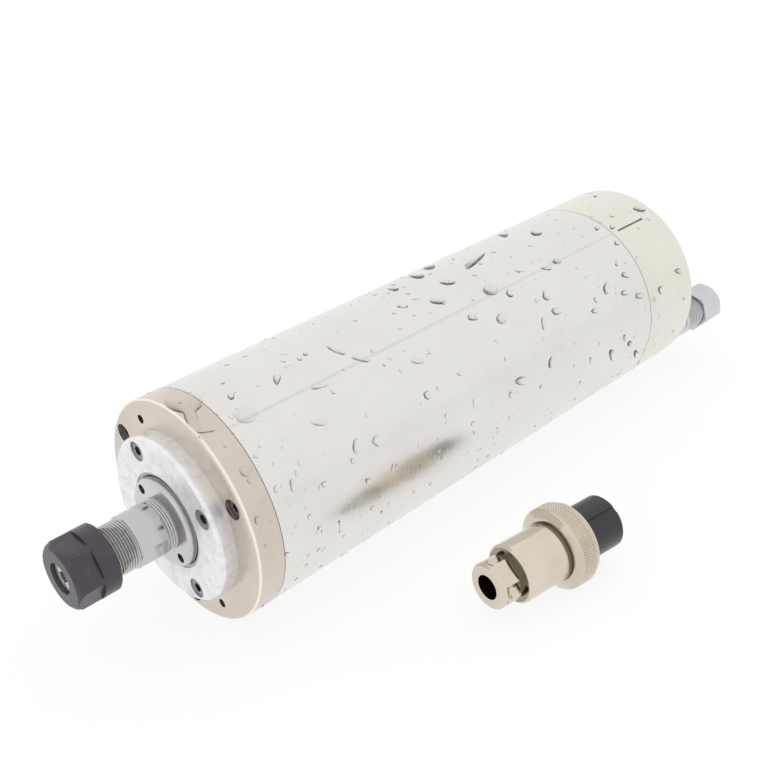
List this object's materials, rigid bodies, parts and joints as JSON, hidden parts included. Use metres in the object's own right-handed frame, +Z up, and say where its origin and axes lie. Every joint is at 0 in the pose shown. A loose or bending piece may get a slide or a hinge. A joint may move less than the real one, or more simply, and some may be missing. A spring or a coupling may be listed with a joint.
{
  "type": "motor spindle",
  "caption": "Water-cooled motor spindle with round steel body, collet nose, hose fittings and rear power socket, and its loose round cable plug.",
  "frame": {"origin": "on the spindle's axis at the front face of the front flange", "axes": "+X along the spindle's axis from the nose to the rear, +Z up as it lies on its side, +Y across"},
  "size_m": [0.2589, 0.1108, 0.065],
  "materials": {
    "stainless": "finely brushed stainless steel, satin",
    "nickel": "satin nickel plate, slightly warm",
    "cover_aluminium": "bare machined aluminium",
    "jacket_aluminium": "turned aluminium",
    "screw_steel": "black oxide screws",
    "seal_rubber": "black nitrile rubber",
    "bearing_steel": "ground bearing steel",
    "spring_steel": "spring steel",
    "lamination": "stacked electrical steel",
    "copper": "varnished copper wire",
    "shaft_steel": "ground shaft steel",
    "collet_steel": "ground spring steel",
    "black_oxide": "black oxide, satin",
    "fitting_nickel": "bright nickel-plated brass",
    "brass": "turned brass",
    "plug_nickel": "bright nickel plate, warm",
    "plug_black": "black moulded plastic",
    "contact_silver": "silver-plated contacts"
  },
  "bodies": {
    "housing": {"front_flange": "nickel", "front_cover": "cover_aluminium", "front_cover_screws": "screw_steel", "front_tie_screws": "screw_steel", "rear_tie_screws": "screw_steel", "outer_tube": "stainless", "water_jacket": "jacket_aluminium", "front_o_ring": "seal_rubber", "rear_o_ring": "seal_rubber", "rear_bearing_housing": "jacket_aluminium", "preload_spring": "spring_steel", "front_bearing_outer_rings": "bearing_steel", "rear_bearing_outer_ring": "bearing_steel", "rear_cap": "nickel", "stator_core": "lamination", "stator_windings": "copper", "water_fitting_left": "fitting_nickel", "water_fitting_right": "fitting_nickel", "socket_shell": "plug_nickel", "socket_insert": "plug_black", "socket_pins": "contact_silver", "socket_nut": "plug_nickel"},
    "rotor": {"shaft": "shaft_steel", "rotor_core": "lamination", "rotor_end_rings": "jacket_aluminium", "front_bearing_inner_rings": "bearing_steel", "rear_bearing_inner_ring": "bearing_steel", "lock_ring": "shaft_steel", "rear_lock_nut": "shaft_steel"},
    "front_cages": {"front_bearing_cages": "bearing_steel"},
    "rear_cage": {"rear_bearing_cage": "bearing_steel"},
    "collet": {"collet": "collet_steel"},
    "collet_nut": {"collet_nut": "black_oxide"},
    "hose_sleeve_left": {"hose_sleeve_left": "brass"},
    "hose_nut_left": {"hose_nut_left": "fitting_nickel"},
    "hose_sleeve_right": {"hose_sleeve_right": "brass"},
    "hose_nut_right": {"hose_nut_right": "fitting_nickel"},
    "plug": {"plug_shell": "plug_nickel", "plug_saddle": "plug_nickel", "plug_clamp_screws": "plug_nickel", "plug_insert": "plug_black", "plug_contacts": "contact_silver"},
    "plug_washer": {"plug_ring_washer": "spring_steel"},
    "plug_ring": {"plug_coupling_ring": "plug_nickel"}
  },
  "joints": [
    {"name": "shaft_spin", "type": "hinge", "parent": "housing", "child": "rotor", "pos_m": [0, 0, 0], "axis": [1, 0, 0], "continuous": true},
    {"name": "front_cage_spin", "type": "hinge", "parent": "housing", "child": "front_cages", "pos_m": [0.011, 0, 0], "axis": [1, 0, 0], "continuous": true},
    {"name": "rear_cage_spin", "type": "hinge", "parent": "housing", "child": "rear_cage", "pos_m": [0.1556, 0, 0], "axis": [1, 0, 0], "continuous": true},
    {"name": "collet_draw", "type": "slide", "parent": "rotor", "child": "collet", "axis": [-1, 0, 0], "range_m": [0, 0.009]},
    {"name": "nut_turn", "type": "hinge", "parent": "collet", "child": "collet_nut", "pos_m": [-0.03, 0, 0], "axis": [-1, 0, 0], "range_deg": [0, 4320]},
    {"name": "hose_sleeve_left_draw", "type": "slide", "parent": "housing", "child": "hose_sleeve_left", "axis": [1, 0, 0], "range_m": [0, 0.004]},
    {"name": "hose_nut_left_turn", "type": "hinge", "parent": "hose_sleeve_left", "child": "hose_nut_left", "pos_m": [0.215, -0.02343, -0.01194], "axis": [1, 0, 0], "range_deg": [0, 1440]},
    {"name": "hose_sleeve_right_draw", "type": "slide", "parent": "housing", "child": "hose_sleeve_right", "axis": [1, 0, 0], "range_m": [0, 0.004]},
    {"name": "hose_nut_right_turn", "type": "hinge", "parent": "hose_sleeve_right", "child": "hose_nut_right", "pos_m": [0.215, 0.02206, -0.01432], "axis": [1, 0, 0], "range_deg": [0, 1440]},
    {"name": "plug_away", "type": "slide", "parent": "housing", "child": "plug", "axis": [0.9934, -0.1149, 0], "range_m": [0, 0.08]},
    {"name": "plug_ring_slide", "type": "slide", "parent": "plug", "child": "plug_washer", "axis": [0.9934, -0.1149, 0], "range_m": [0, 0.0036]},
    {"name": "plug_ring_turn", "type": "hinge", "parent": "plug_washer", "child": "plug_ring", "pos_m": [0.0755, -0.0651, -0.0201], "axis": [0.9934, -0.1149, 0], "continuous": true}
  ],
  "couplings": [
    {"joint": "front_cage_spin", "follows": "shaft_spin", "ratio": 0.3987},
    {"joint": "rear_cage_spin", "follows": "shaft_spin", "ratio": 0.381},
    {"joint": "nut_turn", "follows": "collet_draw", "rad_per_m": 8377.6},
    {"joint": "hose_nut_left_turn", "follows": "hose_sleeve_left_draw", "rad_per_m": 6283.2},
    {"joint": "hose_nut_right_turn", "follows": "hose_sleeve_right_draw", "rad_per_m": 6283.2}
  ]
}
